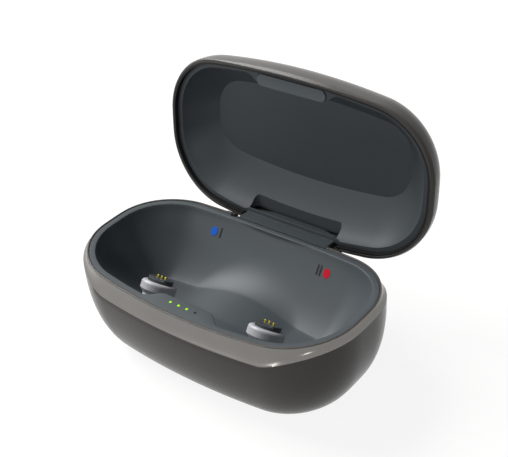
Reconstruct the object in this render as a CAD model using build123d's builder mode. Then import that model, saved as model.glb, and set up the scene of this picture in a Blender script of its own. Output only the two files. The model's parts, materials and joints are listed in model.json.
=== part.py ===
from build123d import *
from math import cos, radians, sin, sqrt
import os

os.makedirs("parts", exist_ok=True)

# A charging case for two hearing aids, with its lid wide open behind it.
# Millimetres, +Z up, +X to the right seen from the front, front towards -Y.
# The origin is the centre of the rubber foot's underside.

# Outline of the case, seen from above: two long bows, two end bows and four corners
case_half_length = 48.0
case_half_depth = 27.0
corner_radius = 22.0
long_bow_radius = 214.0
end_bow_radius = 134.6

# Base
rim_height = 30.0
rim_rise_at_ends = 2.45
base_wall = 2.0
base_floor = 2.0
foot_proud = 0.5
widest_below_rim = 2.6
base_bottom_half_length = 31.5
base_bottom_half_depth = 15.5
base_bottom_corner = 11.4
hollow_overshoot = 2.0
region_spare = 6.0
base_fullness = 2.3

# Bevel band under the rim
rim_inset_x = 1.5
rim_inset_y = 1.25
band_slope_x = 0.68
band_slope_y = 0.21
band_reach_down = 12.0
band_reach_up = 5.0

# Lid
lid_height = 15.5
lid_wall = 1.15
lid_edge_reach_down = 3.0
lid_edge_reach_up = 4.0
lid_edge_inset = 0.75
lid_edge_slope = 0.5
lid_gap = 0.3
lid_top_half_length = 30.0
lid_top_half_depth = 13.0
lid_top_corner = 9.2
lid_fullness = 2.5
open_angle = 94.3

# Hinge
hinge_inset = 1.4
hinge_below_rim = 3.0
knuckle_radius = 1.5
knuckle_half_length = 17.8
notch_half_length = 18.0
ear_length = 3.5
ear_outer_wall = 0.6
ear_root = 1.2
ear_drop = 1.2
notch_depth = 8.0
hinge_pin_radius = 0.6
pin_running_gap = 0.06
pin_press_gap = 0.02
swing_gap = 0.25
web_half_length = 16.4
web_reach = 1.85
web_thickness = 1.0
tray_behind_gap = 0.2
hinge_rim_wall = 0.95
hinge_rim_spare = 0.5

# Base tray
tray_gap = 0.15
tray_wall = 1.6
ledge_width = 1.85
ledge_thickness = 2.0
ledge_below_rim = 0.2
bowl_depth = 17.0
bowl_floor_half_length = 31.0
bowl_floor_half_depth = 6.5
bowl_floor_corner = 3.25
bowl_fullness = 1.25
bowl_shares = (0.15, 0.35, 0.55, 0.75, 0.9, 1.0)
saddle_radius = 22.0
saddle_below_rim = 13.0
bulge_reach = 8.3
bulge_half_length = 9.5
bulge_root_half_length = 13.5
bulge_root_inset = 4.4
bulge_corner = 4.0
bulge_root_corner = 3.5
bulge_root_reach = 3.0
bulge_depth = 7.0
bulge_roof = 2.0
pocket_half_length = 11.5
pocket_inset = 5.15
pocket_drop = 1.0
pocket_width = 3.9

# Status lights
light_pitch = 3.0
light_count = 4
light_inset = 5.9
light_radius = 0.42
light_hole_gap = 0.05
light_flange_radius = 0.8
light_flange_height = 0.5
light_length = 5.2
strip_length = 22.0
strip_width = 3.3
strip_thickness = 0.8
chip_length = 1.3
chip_width = 1.0
chip_height = 0.5
strip_gap = 0.2
strip_corner = 0.6

# Docks, which tip backwards
dock_x = 20.1
dock_inset = 19.0
dock_face_below_rim = 6.0
dock_tip = 36.0
collar_radius = 5.5
collar_thickness = 4.0
collar_bottom_cut = 1.3
collar_top_round = 0.9
neck_radius = 4.2
neck_end = 11.5
neck_gap = 0.05
neck_hole_spare = 2.0
stem_gap = 0.05
block_radius = 3.9
block_thickness = 1.4
block_step = 0.5
block_step_y = 2.4
stem_length = 5.6
stem_width = 2.6
stem_end = 9.0
dock_board_radius = 4.0
dock_board_thickness = 0.8

# Contact pins
pin_pitch = 1.45
pin_count = 3
pin_radius = 0.3
pin_proud = 0.8
pin_travel = 0.6
pin_length = 3.4
barrel_radius = 0.5
barrel_length = 4.4
barrel_gap = 0.02
pin_slide_gap = 0.04
pin_bore_spare = 0.4
pin_tip_round = 0.2

# Inside the base
board_margin = 2.5
board_width = 30.0
board_thickness = 1.0
board_chip_height = 1.0
chip_places = ((-9.0, 4.0, 7.0, 7.0), (8.0, 5.0, 5.0, 4.0), (6.0, -6.0, 4.0, 6.0))
board_over_cell = 0.7
post_cell_gap = 0.5
post_edge_distance = 3.0
board_post_radius = 2.0
post_root = 0.5
board_corner = 2.0
board_tongue_half_length = 7.0
tongue_short_of_mouth = 3.1
board_screw_radius = 0.75
board_screw_head_radius = 1.5
board_screw_head_height = 0.8
board_screw_length = 4.0
drive_slot_width = 0.4
drive_slot_depth = 0.4
drive_slot_share = 0.75
cell_length = 38.0
cell_width = 24.0
cell_height = 5.4
cell_y = -1.0
cell_edge_round = 2.0
usb_width = 8.94
usb_height = 3.2
usb_depth = 7.4
usb_wall = 0.35
usb_port_gap = 0.25
usb_mouth_inset = 4.4
usb_tongue_width = 6.7
usb_tongue_thickness = 0.7
usb_tongue_length = 5.9
port_depth = 8.0

# Screws that hold the tray, and the foot over them
boss_board_gap = 1.2
tray_boss_radius = 2.6
tray_post_height = 1.9
boss_gap = 0.05
boss_height = 9.5
boss_hole_depth = 6.0
tray_screw_radius = 0.9
tray_screw_head_radius = 1.8
tray_screw_head_height = 1.0
tray_screw_length = 8.0
screw_gap = 0.1
thread_gap = 0.05
foot_margin = 1.1
foot_half_depth = 12.0
foot_corner = 10.0
foot_thickness = 1.0
foot_gap = 0.1
foot_edge_round = 0.3

# Lid liner, gasket, catch and magnets
gasket_thickness = 0.55
gasket_height = 2.6
liner_opening = 3.05
liner_set_back = 1.5
ceiling_half_length = 35.5
ceiling_half_depth = 14.0
ceiling_corner = 10.0
ceiling_height = 12.6
ceiling_shift = -2.5
liner_fullness = 1.3
liner_shares = (0.2, 0.4, 0.6, 0.75, 0.88)
lid_bulge_half_length = 11.0
lid_bulge_root_half_length = 15.5
lid_bulge_reach = 6.6
lid_bulge_root_inset = 3.6
lid_bulge_height = 6.8
lid_bulge_corner = 3.0
hinge_lip_half_length = 15.8
hinge_lip_reach = 4.4
hinge_lip_shoulder_x = 17.7
hinge_lip_shoulder_reach = 3.9
hinge_lip_root_x = 20.3
hinge_lip_root_reach = 2.9
hinge_lip_height = 2.6
hinge_pocket_half_length = 16.6
hinge_pocket_wall = 2.6
hinge_pocket_height = 6.9
hinge_pocket_corner = 1.4
web_height = 3.0
gasket_rise = 0.05
gasket_gap = 0.05
gasket_open_half_length = 17.9
catch_half_length = 12.2
catch_half_width = 1.85
catch_inset = 4.6
catch_thickness = 0.8
catch_proud = 0.15
catch_gap = 0.15
magnet_x = 8.8
magnet_length = 3.6
magnet_width = 2.9
magnet_height = 2.0
magnet_gap = 0.05

# Colour markers in the back wall of the bowl
marker_x = 21.4
marker_radius = 1.2
marker_below_rim = 4.7
marker_thickness = 0.8
marker_gap = 0.05

shell_bottom = foot_proud
floor_height = shell_bottom + base_floor
foot_half_length = base_bottom_half_length - foot_margin
board_post_x = cell_length / 2 + post_cell_gap + board_post_radius
board_post_y = board_width / 2 - post_edge_distance
board_length = 2 * (board_post_x + board_margin)
board_height = floor_height + cell_height + board_over_cell
tray_boss_x = board_length / 2 + boss_board_gap + tray_boss_radius
widest_height = rim_height - widest_below_rim
body_height = widest_height - shell_bottom
rim_radius = (case_half_length**2 + rim_rise_at_ends**2) / (2 * rim_rise_at_ends)
hinge_height = rim_height - hinge_below_rim
bulge_inner_y = case_half_depth - bulge_reach
bulge_root_y = case_half_depth - bulge_root_inset
pocket_y = case_half_depth - pocket_inset
light_y = case_half_depth - light_inset
dock_face_y = dock_inset - case_half_depth
usb_mouth_y = case_half_depth - usb_mouth_inset
board_tongue_y = usb_mouth_y - tongue_short_of_mouth
lid_bulge_inner_y = case_half_depth - lid_bulge_reach
lid_bulge_root_y = case_half_depth - lid_bulge_root_inset
catch_y = case_half_depth - catch_inset
hinge_lip_y = case_half_depth - hinge_lip_reach
hinge_lip_shoulder = (hinge_lip_shoulder_x, case_half_depth - hinge_lip_shoulder_reach)
hinge_lip_root = (hinge_lip_root_x, case_half_depth - hinge_lip_root_reach)
hinge_pocket_y = case_half_depth - hinge_pocket_wall
liner_inset = lid_wall + 2 * gasket_gap + gasket_thickness
hinge_y = case_half_depth - hinge_inset
web_front_y = hinge_y - web_reach
hinge_axis = Axis((0, hinge_y, hinge_height), (1, 0, 0))
reach = 2 * case_half_length


def outline(height, inset_x, inset_y, corner_cut, shift=0.0):
    """One closed outline of eight arcs, drawn in from the case's widest one, shifted along Y."""
    half_length = case_half_length - inset_x
    half_depth = case_half_depth - inset_y
    bow = long_bow_radius - inset_y
    end = end_bow_radius - inset_x
    corner = corner_radius - corner_cut
    bow_centre = Vector(0, half_depth - bow)
    end_centre = Vector(half_length - end, 0)
    span = end_centre - bow_centre
    along = (span.length**2 + (bow - corner) ** 2 - (end - corner) ** 2) / (2 * span.length)
    aside = sqrt((bow - corner) ** 2 - along**2)
    way = span.normalized()
    corner_centre = bow_centre + way * along + Vector(way.Y, -way.X) * aside
    from_bow = (corner_centre - bow_centre).normalized()
    from_end = (corner_centre - end_centre).normalized()
    bow_meets = bow_centre + from_bow * bow
    end_meets = end_centre + from_end * end
    corner_middle = corner_centre + (from_bow + from_end).normalized() * corner

    def placed(point, sign_x, sign_y):
        return (point.X * sign_x, point.Y * sign_y)

    with BuildSketch(Plane((0, shift, height))) as face:
        with BuildLine():
            for side in (1, -1):
                ThreePointArc(
                    placed(bow_meets, 1, side), (0, half_depth * side), placed(bow_meets, -1, side)
                )
                ThreePointArc(
                    placed(end_meets, side, 1), (half_length * side, 0), placed(end_meets, side, -1)
                )
                for other in (1, -1):
                    ThreePointArc(
                        placed(bow_meets, other, side),
                        placed(corner_middle, other, side),
                        placed(end_meets, other, side),
                    )
        make_face()
    return face.sketch


def part_way(inset, half_length, half_depth, corner, share):
    """Insets and corner cut of an outline between an even inset and given half sizes."""
    inset_x = inset + (case_half_length - half_length - inset) * share
    inset_y = inset + (case_half_depth - half_depth - inset) * share
    corner_cut = inset + (corner_radius - corner - inset) * share
    return inset_x, inset_y, corner_cut


def drawn_in(share, fullness):
    """How far a rounded wall has come in, from 0 to 1, at a share of its height."""
    return 1 - (1 - share**fullness) ** (1 / fullness)


wall_shares = (0.25, 0.5, 0.7, 0.84, 0.94, 1.0)


def base_sections(wall, floor):
    """Outlines of the base's outer form, or of its hollow where wall and floor aren't 0."""
    sections = [outline(rim_height + 2 * rim_rise_at_ends, wall, wall, wall)]
    sections.append(outline(rim_height, wall, wall, wall))
    sections.append(outline(widest_height, wall, wall, wall))
    for share in wall_shares:
        cuts = part_way(
            wall, base_bottom_half_length - wall, base_bottom_half_depth - wall,
            base_bottom_corner - wall, drawn_in(share, base_fullness),
        )
        sections.append(outline(widest_height - (body_height - floor) * share, *cuts))
    return sections


def lid_sections(wall):
    """Outlines of the closed lid's outer form, or of its hollow where wall isn't 0."""
    start = rim_height + rim_rise_at_ends
    sections = [outline(rim_height - hollow_overshoot, wall, wall, wall)]
    sections.append(outline(rim_height + rim_rise_at_ends / 2, wall, wall, wall))
    sections.append(outline(start, wall, wall, wall))
    for share in wall_shares:
        cuts = part_way(
            wall, lid_top_half_length - wall, lid_top_half_depth - wall, lid_top_corner - wall,
            drawn_in(share, lid_fullness),
        )
        sections.append(outline(start + (rim_height + lid_height - wall - start) * share, *cuts))
    return sections


def flared(height, inset_x, inset_y, slope_x, slope_y, below, above):
    """Two outlines whose walls lean by the two slopes and pass the insets at a height."""
    sections = []
    for rise in (-below, above):
        now_x = inset_x + slope_x * rise
        now_y = inset_y + slope_y * rise
        sections.append(outline(height + rise, now_x, now_y, now_y))
    return sections


def swell(height, half_length, inner_y, root_half_length, root_y, corner):
    """Outline of a bulge on the front rim, whose ends run out in a smooth bend."""
    foot_half = root_half_length + bulge_root_reach
    with BuildSketch(Plane.XY.offset(height)) as face:
        with BuildLine():
            Polyline(
                (-foot_half, -case_half_depth),
                (-foot_half, -root_y),
                (-root_half_length, -root_y),
                (-half_length, -inner_y),
                (half_length, -inner_y),
                (root_half_length, -root_y),
                (foot_half, -root_y),
                (foot_half, -case_half_depth),
                close=True,
            )
        make_face()
        fillet(vertices().group_by(Axis.Y)[1].sort_by(Axis.X)[1:3], bulge_root_corner)
        fillet(vertices().group_by(Axis.Y)[-1], corner)
    return face.sketch


def beside_rim(offset, other):
    """The region between the bowed rim line, moved up by offset, and another height."""
    far = case_half_length + region_spare
    sag = rim_radius - sqrt(rim_radius**2 - far**2)
    line = rim_height + offset
    with BuildSketch(Plane.XZ) as region:
        with BuildLine():
            ThreePointArc((-far, line + sag), (0, line), (far, line + sag))
            Polyline((far, line + sag), (far, other), (-far, other), (-far, line + sag))
        make_face()
    return region.sketch


deep = -5.0
high = 100.0
under_rim = beside_rim(0, deep)
under_ledge = beside_rim(-ledge_below_rim, deep)
above_lid_edge = beside_rim(lid_gap, high)
above_liner_lip = beside_rim(lid_gap + liner_set_back, high)

# Where the docks stand: a plane on each contact face, with its normal along the dock
dock_normal = (0, sin(radians(dock_tip)), cos(radians(dock_tip)))
dock_face_height = rim_height - dock_face_below_rim


def dock_plane(side, rise=0.0):
    """The plane across a dock at a height above its contact face."""
    face = Plane(origin=(side * dock_x, dock_face_y, dock_face_height), x_dir=(1, 0, 0), z_dir=dock_normal)
    return face.offset(rise)


sides = {"left": -1, "right": 1}


def save(part, name):
    part.label = name
    export_step(part, f"parts/{name}.step")
    print(f"{name}: {len(part.solids())} solids, {part.volume:.1f} mm3")


def save_opened(part, name):
    """Lid pieces are built closed and turned open about the hinge."""
    save(part.rotate(hinge_axis, -open_angle), name)


# Base shell: a bowed cup with a bevel band, a notch for the hinge and two hinge ears
usb_height_centre = board_height - usb_height / 2
notch_front_y = web_front_y - tray_behind_gap
hinge_rim_y = notch_front_y - hinge_rim_wall
notch_bottom = hinge_height - knuckle_radius - swing_gap
ear_middle_x = notch_half_length + ear_length / 2
hinge_pin_half_length = notch_half_length + ear_length - ear_outer_wall

# What lies inside the bevel band, and everything well below it
with BuildPart() as band_form:
    loft(
        sections=flared(
            rim_height, rim_inset_x - band_slope_x * rim_rise_at_ends, rim_inset_y,
            band_slope_x, band_slope_y, band_reach_down, band_reach_up,
        ),
        ruled=True,
    )
    with Locations((0, 0, rim_height - band_reach_down)):
        Box(2 * reach, reach, rim_height, align=(Align.CENTER, Align.CENTER, Align.MAX))

with BuildPart() as base_shell:
    loft(sections=base_sections(0, 0))
    add(band_form.part, mode=Mode.INTERSECT)
    extrude(under_rim, amount=reach, both=True, mode=Mode.INTERSECT)
    loft(sections=base_sections(base_wall, base_floor), mode=Mode.SUBTRACT)
    # Ears on both sides of the notch, from the rear wall out round the hinge pin
    for side in (1, -1):
        with BuildSketch(Plane.YZ.offset(side * ear_middle_x)):
            with Locations((hinge_y, hinge_height)):
                Circle(knuckle_radius)
            with Locations((hinge_y, hinge_height + knuckle_radius)):
                Rectangle(ear_root, 2 * knuckle_radius + ear_drop, align=(Align.MAX, Align.MAX))
        extrude(amount=ear_length / 2, both=True)
    # The notch, through the rear wall and open at the rim
    with BuildSketch(Plane.XY.offset(notch_bottom)):
        with Locations((0, notch_front_y)):
            Rectangle(2 * notch_half_length, notch_depth, align=(Align.CENTER, Align.MIN))
    extrude(amount=rim_height, mode=Mode.SUBTRACT)
    with BuildSketch(Plane.YZ):
        with Locations((hinge_y, hinge_height)):
            Circle(hinge_pin_radius + pin_press_gap)
    extrude(amount=hinge_pin_half_length, both=True, mode=Mode.SUBTRACT)
    # Posts for the main board, and posts that the tray's screws go through
    with BuildSketch(Plane.XY.offset(floor_height - post_root)):
        with GridLocations(2 * board_post_x, 2 * board_post_y, 2, 2):
            Circle(board_post_radius)
    extrude(amount=board_height - floor_height + post_root)
    with BuildSketch(Plane.XY.offset(floor_height - post_root)):
        with GridLocations(2 * tray_boss_x, 0, 2, 1):
            Circle(tray_boss_radius)
    extrude(amount=tray_post_height + post_root)
    with Locations(Plane.XY.offset(board_height)):
        with GridLocations(2 * board_post_x, 2 * board_post_y, 2, 2):
            Hole(board_screw_radius + thread_gap, depth=board_screw_length)
    # Charging port in the rear wall
    with BuildSketch(Plane.XZ.offset(-case_half_depth)):
        with Locations((0, usb_height_centre)):
            SlotOverall(usb_width + 2 * usb_port_gap, usb_height + 2 * usb_port_gap)
    extrude(amount=port_depth, mode=Mode.SUBTRACT)
    # Recess for the foot, with counterbored holes for the tray's screws inside it
    with BuildSketch(Plane.XY.offset(shell_bottom)):
        RectangleRounded(
            2 * (foot_half_length + foot_gap), 2 * (foot_half_depth + foot_gap), foot_corner + foot_gap
        )
    extrude(amount=foot_thickness - foot_proud, mode=Mode.SUBTRACT)
    with BuildSketch(Plane.XY.offset(foot_thickness)):
        with GridLocations(2 * tray_boss_x, 0, 2, 1):
            Circle(tray_screw_head_radius + screw_gap)
    extrude(amount=tray_screw_head_height, mode=Mode.SUBTRACT)
    with BuildSketch(Plane.XY.offset(foot_thickness)):
        with GridLocations(2 * tray_boss_x, 0, 2, 1):
            Circle(tray_screw_radius + screw_gap)
    extrude(amount=tray_post_height + floor_height, mode=Mode.SUBTRACT)
save(base_shell.part, "base_shell")

# Foot: a rubber pad in the shell's recess, which the case rests on
with BuildPart() as foot_pad:
    with BuildSketch():
        RectangleRounded(2 * foot_half_length, 2 * foot_half_depth, foot_corner)
    extrude(amount=foot_thickness)
    fillet(foot_pad.faces().sort_by(Axis.Z)[0].edges(), foot_edge_round)
save(foot_pad.part, "foot_pad")


def bowl_sections(wall):
    """Outlines of the bowl's hollow, or with a wall, of the outside of its cup."""
    opening = base_wall + tray_gap + ledge_width - wall
    top = rim_height - ledge_below_rim
    sections = [outline(rim_height + 2 * rim_rise_at_ends, opening, opening, opening)]
    sections.append(outline(top, opening, opening, opening))
    for share in bowl_shares:
        cuts = part_way(
            opening, bowl_floor_half_length + wall, bowl_floor_half_depth + wall,
            bowl_floor_corner + wall, drawn_in(share, bowl_fullness),
        )
        sections.append(outline(top - (bowl_depth + wall) * share, *cuts))
    return sections


# The space that the tray may fill: inside the shell, and under the ledge's bowed top
tray_inset = base_wall + tray_gap
pocket_roof = rim_height - ledge_below_rim - bulge_roof
boss_bottom = floor_height + tray_post_height + boss_gap
with BuildPart() as tray_space:
    extrude(outline(boss_bottom, tray_inset, tray_inset, tray_inset), amount=rim_height)
    extrude(under_ledge, amount=reach, both=True, mode=Mode.INTERSECT)

with BuildPart() as bowl_space:
    loft(sections=bowl_sections(0))

with BuildPart() as cup_space:
    loft(sections=bowl_sections(tray_wall))

# Saddle between the two pockets: a low swell across the bowl
with BuildPart() as saddle:
    with BuildSketch(Plane.XZ):
        with Locations((0, rim_height - saddle_below_rim - saddle_radius)):
            Circle(saddle_radius)
    extrude(amount=case_half_depth, both=True)
    add(cup_space.part, mode=Mode.INTERSECT)

# Ledge, front bulge and the thicker rim in front of the hinge
with BuildPart() as ledge:
    extrude(beside_rim(-ledge_below_rim - ledge_thickness, high), amount=reach, both=True)
    add(tray_space.part, mode=Mode.INTERSECT)
    add(bowl_space.part, mode=Mode.SUBTRACT)

with BuildPart() as bulge:
    extrude(
        swell(
            rim_height - bulge_depth, bulge_half_length, bulge_inner_y,
            bulge_root_half_length, bulge_root_y, bulge_corner,
        ),
        amount=bulge_depth,
    )
    with BuildSketch(Plane.XY.offset(notch_bottom)):
        with Locations((0, hinge_rim_y)):
            Rectangle(
                2 * (notch_half_length + hinge_rim_spare), case_half_depth - hinge_rim_y,
                align=(Align.CENTER, Align.MIN),
            )
    extrude(amount=rim_height)
    add(tray_space.part, mode=Mode.INTERSECT)

# Base tray: a ledge round a deep bowl, with the saddle, the front bulge and two screw bosses
with BuildPart() as base_tray:
    add(cup_space.part)
    add(tray_space.part, mode=Mode.INTERSECT)
    with BuildSketch(Plane.XY.offset(boss_bottom)):
        with GridLocations(2 * tray_boss_x, 0, 2, 1):
            Circle(tray_boss_radius)
    extrude(amount=boss_height)
    add(bowl_space.part, mode=Mode.SUBTRACT)
    add(saddle.part)
    add(ledge.part)
    add(bulge.part)
    # Notch for the hinge web
    with BuildSketch(Plane.XY.offset(notch_bottom)):
        with Locations((0, notch_front_y)):
            Rectangle(2 * notch_half_length, notch_depth, align=(Align.CENTER, Align.MIN))
    extrude(amount=rim_height, mode=Mode.SUBTRACT)
    # Pocket under the bulge, and holes for the light guides
    with BuildSketch(Plane.XY.offset(rim_height - bulge_depth - pocket_drop)):
        with Locations((0, -pocket_y)):
            Rectangle(2 * pocket_half_length, pocket_width)
    extrude(amount=pocket_roof - rim_height + bulge_depth + pocket_drop, mode=Mode.SUBTRACT)
    with BuildSketch(Plane.XY.offset(pocket_roof)):
        with Locations((0, -light_y)):
            with GridLocations(light_pitch, 0, light_count, 1):
                Circle(light_radius + light_hole_gap)
    extrude(amount=rim_height, mode=Mode.SUBTRACT)
    # Holes for the docks' necks and the boss screws
    for side in (1, -1):
        with BuildSketch(dock_plane(side, -neck_end - neck_hole_spare)):
            Circle(neck_radius + neck_gap)
        extrude(amount=neck_end - collar_thickness, mode=Mode.SUBTRACT)
    with BuildSketch(Plane.XY.offset(boss_bottom)):
        with GridLocations(2 * tray_boss_x, 0, 2, 1):
            Circle(tray_screw_radius + thread_gap)
    extrude(amount=boss_hole_depth, mode=Mode.SUBTRACT)
    # Recesses for the colour markers
    for side in (1, -1):
        with BuildPart(mode=Mode.PRIVATE) as recess:
            with BuildSketch(Plane.XZ.offset(-case_half_depth)):
                with Locations((side * marker_x, rim_height - marker_below_rim)):
                    Circle(marker_radius + marker_gap)
            extrude(amount=case_half_depth)
            loft(sections=bowl_sections(marker_thickness + marker_gap), mode=Mode.INTERSECT)
        add(recess.part, mode=Mode.SUBTRACT)
save(base_tray.part, "base_tray")

# Colour markers: round inlays, flush with the bowl's back wall
with BuildPart() as marker_skin:
    loft(sections=bowl_sections(marker_thickness))
    add(bowl_space.part, mode=Mode.SUBTRACT)
for name, side in sides.items():
    with BuildPart() as marker:
        with BuildSketch(Plane.XZ.offset(-case_half_depth)):
            with Locations((side * marker_x, rim_height - marker_below_rim)):
                Circle(marker_radius)
        extrude(amount=case_half_depth)
        add(marker_skin.part, mode=Mode.INTERSECT)
    save(marker.part, f"{name}_marker")

# Docks: a collar on a neck that goes down through the bowl's wall
for name, side in sides.items():
    with BuildPart() as dock:
        with BuildSketch(dock_plane(side, -block_thickness - collar_thickness)):
            Circle(collar_radius)
        extrude(amount=collar_thickness)
        collar_edges = dock.edges().filter_by(GeomType.CIRCLE).sort_by(Axis.Z)
        fillet(collar_edges[-1], collar_top_round)
        collar_edges = dock.edges().filter_by(GeomType.CIRCLE).sort_by(Axis.Z)
        chamfer(collar_edges[0], collar_bottom_cut)
        with BuildSketch(dock_plane(side, -neck_end)):
            Circle(neck_radius)
        extrude(amount=neck_end - block_thickness)
        with BuildSketch(dock_plane(side, -neck_end)):
            Rectangle(stem_length + 2 * stem_gap, stem_width + 2 * stem_gap)
        extrude(amount=neck_end, mode=Mode.SUBTRACT)
    save(dock.part, f"{name}_dock")

# Contact blocks: a dark disc on each collar, with a stem that holds the pins' barrels
for name, side in sides.items():
    with BuildPart() as block:
        with BuildSketch(dock_plane(side, -block_thickness)):
            Circle(block_radius)
        extrude(amount=block_thickness)
        with BuildSketch(dock_plane(side, -block_step)):
            with Locations((0, -block_step_y)):
                Rectangle(2 * block_radius, block_radius, align=(Align.CENTER, Align.MAX))
        extrude(amount=block_step, mode=Mode.SUBTRACT)
        with BuildSketch(dock_plane(side, -stem_end)):
            Rectangle(stem_length, stem_width)
        extrude(amount=stem_end - block_thickness)
        with BuildSketch(dock_plane(side, -barrel_length)):
            with GridLocations(pin_pitch, 0, pin_count, 1):
                Circle(barrel_radius + barrel_gap)
        extrude(amount=barrel_length, mode=Mode.SUBTRACT)
    save(block.part, f"{name}_contact_block")

# Barrels of the contact pins, pressed into the blocks
pin_bore_depth = pin_length - pin_proud + pin_travel + pin_bore_spare
with BuildPart() as pin_barrels:
    for side in (1, -1):
        with BuildSketch(dock_plane(side, -barrel_length)):
            with GridLocations(pin_pitch, 0, pin_count, 1):
                Circle(barrel_radius)
        extrude(amount=barrel_length)
        with BuildSketch(dock_plane(side, -pin_bore_depth)):
            with GridLocations(pin_pitch, 0, pin_count, 1):
                Circle(pin_radius + pin_slide_gap)
        extrude(amount=pin_bore_depth, mode=Mode.SUBTRACT)
save(pin_barrels.part, "pin_barrels")

# Spring-loaded contact pins, numbered from the left
for name, side in sides.items():
    for number in range(pin_count):
        with BuildPart() as pin:
            with BuildSketch(dock_plane(side, pin_proud - pin_length)):
                with Locations(((number - (pin_count - 1) / 2) * pin_pitch, 0)):
                    Circle(pin_radius)
            extrude(amount=pin_length)
            fillet(pin.edges().filter_by(GeomType.CIRCLE).sort_by(Axis.Z)[-1], pin_tip_round)
        save(pin.part, f"{name}_pin_{number + 1}")

# Round circuit boards under the docks' necks
with BuildPart() as dock_boards:
    for side in (1, -1):
        with BuildSketch(dock_plane(side, -neck_end - dock_board_thickness)):
            Circle(dock_board_radius)
        extrude(amount=dock_board_thickness)
save(dock_boards.part, "dock_boards")

# Main board: it lies on the four posts, with a tongue over the charging socket
with BuildPart() as main_board:
    with BuildSketch(Plane.XY.offset(board_height)):
        RectangleRounded(board_length, board_width, board_corner)
        with Locations((0, board_tongue_y)):
            Rectangle(2 * board_tongue_half_length, board_width / 2, align=(Align.CENTER, Align.MAX))
        with GridLocations(2 * board_post_x, 2 * board_post_y, 2, 2):
            Circle(board_screw_radius + screw_gap, mode=Mode.SUBTRACT)
    extrude(amount=board_thickness)
save(main_board.part, "main_board")

# Chips on the main board: charge controller, power converter and memory
with BuildPart() as board_chips:
    for centre_x, centre_y, length, width in chip_places:
        with Locations((centre_x, centre_y, board_height + board_thickness)):
            Box(length, width, board_chip_height, align=(Align.CENTER, Align.CENTER, Align.MIN))
save(board_chips.part, "board_chips")

# Screws that hold the main board
board_top = board_height + board_thickness
with BuildPart() as board_screws:
    with BuildSketch(Plane.XY.offset(board_top - board_screw_length)):
        with GridLocations(2 * board_post_x, 2 * board_post_y, 2, 2):
            Circle(board_screw_radius)
    extrude(amount=board_screw_length)
    with BuildSketch(Plane.XY.offset(board_top)):
        with GridLocations(2 * board_post_x, 2 * board_post_y, 2, 2):
            Circle(board_screw_head_radius)
    extrude(amount=board_screw_head_height)
    with BuildSketch(Plane.XY.offset(board_top + board_screw_head_height - drive_slot_depth)):
        with GridLocations(2 * board_post_x, 2 * board_post_y, 2, 2):
            Rectangle(2 * drive_slot_share * board_screw_head_radius, drive_slot_width)
            Rectangle(drive_slot_width, 2 * drive_slot_share * board_screw_head_radius)
    extrude(amount=drive_slot_depth, mode=Mode.SUBTRACT)
save(board_screws.part, "board_screws")

# Rechargeable cell, lying on the shell's floor
with BuildPart() as battery_cell:
    with Locations((0, cell_y, floor_height)):
        Box(cell_length, cell_width, cell_height, align=(Align.CENTER, Align.CENTER, Align.MIN))
    fillet(battery_cell.edges().filter_by(Axis.Z), cell_edge_round)
save(battery_cell.part, "battery_cell")

# Charging socket: a flat metal tube with a tongue in it, open to the rear
with BuildPart() as usb_socket:
    with BuildSketch(Plane.XZ.offset(-usb_mouth_y)):
        with Locations((0, usb_height_centre)):
            SlotOverall(usb_width, usb_height)
            SlotOverall(usb_width - 2 * usb_wall, usb_height - 2 * usb_wall, mode=Mode.SUBTRACT)
    extrude(amount=usb_depth)
    with BuildSketch(Plane.XZ.offset(usb_depth - usb_mouth_y)):
        with Locations((0, usb_height_centre)):
            SlotOverall(usb_width, usb_height)
    extrude(amount=-usb_wall)
    with BuildSketch(Plane.XZ.offset(usb_depth - usb_mouth_y)):
        with Locations((0, usb_height_centre)):
            Rectangle(usb_tongue_width, usb_tongue_thickness)
    extrude(amount=-usb_tongue_length)
save(usb_socket.part, "usb_socket")

# Light strip under the bulge, its four chips and the light guides above them
strip_bottom = rim_height - bulge_depth + strip_gap
strip_top = strip_bottom + strip_thickness
with BuildPart() as light_strip:
    with BuildSketch(Plane.XY.offset(strip_bottom)):
        with Locations((0, -pocket_y)):
            RectangleRounded(strip_length, strip_width, strip_corner)
    extrude(amount=strip_thickness)
save(light_strip.part, "light_strip")

with BuildPart() as led_chips:
    with Locations((0, -light_y, strip_top)):
        with GridLocations(light_pitch, 0, light_count, 1):
            Box(chip_length, chip_width, chip_height, align=(Align.CENTER, Align.CENTER, Align.MIN))
save(led_chips.part, "led_chips")

guide_bottom = rim_height - ledge_below_rim - light_length
for number in range(light_count):
    guide_spot = ((number - (light_count - 1) / 2) * light_pitch, -light_y)
    with BuildPart() as guide:
        with BuildSketch(Plane.XY.offset(guide_bottom)):
            with Locations(guide_spot):
                Circle(light_radius)
        extrude(amount=light_length + ledge_below_rim)
        with BuildSketch(Plane.XY.offset(pocket_roof)):
            with Locations(guide_spot):
                Circle(light_flange_radius)
        extrude(amount=-light_flange_height)
        extrude(under_ledge, amount=reach, both=True, mode=Mode.INTERSECT)
    save(guide.part, f"light_guide_{number + 1}")

# Magnets under the bulge's roof, which hold the lid shut
with BuildPart() as base_magnets:
    with Locations((0, -pocket_y, pocket_roof)):
        with GridLocations(2 * magnet_x, 0, 2, 1):
            Box(magnet_length, magnet_width, magnet_height, align=(Align.CENTER, Align.CENTER, Align.MAX))
save(base_magnets.part, "base_magnets")

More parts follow.
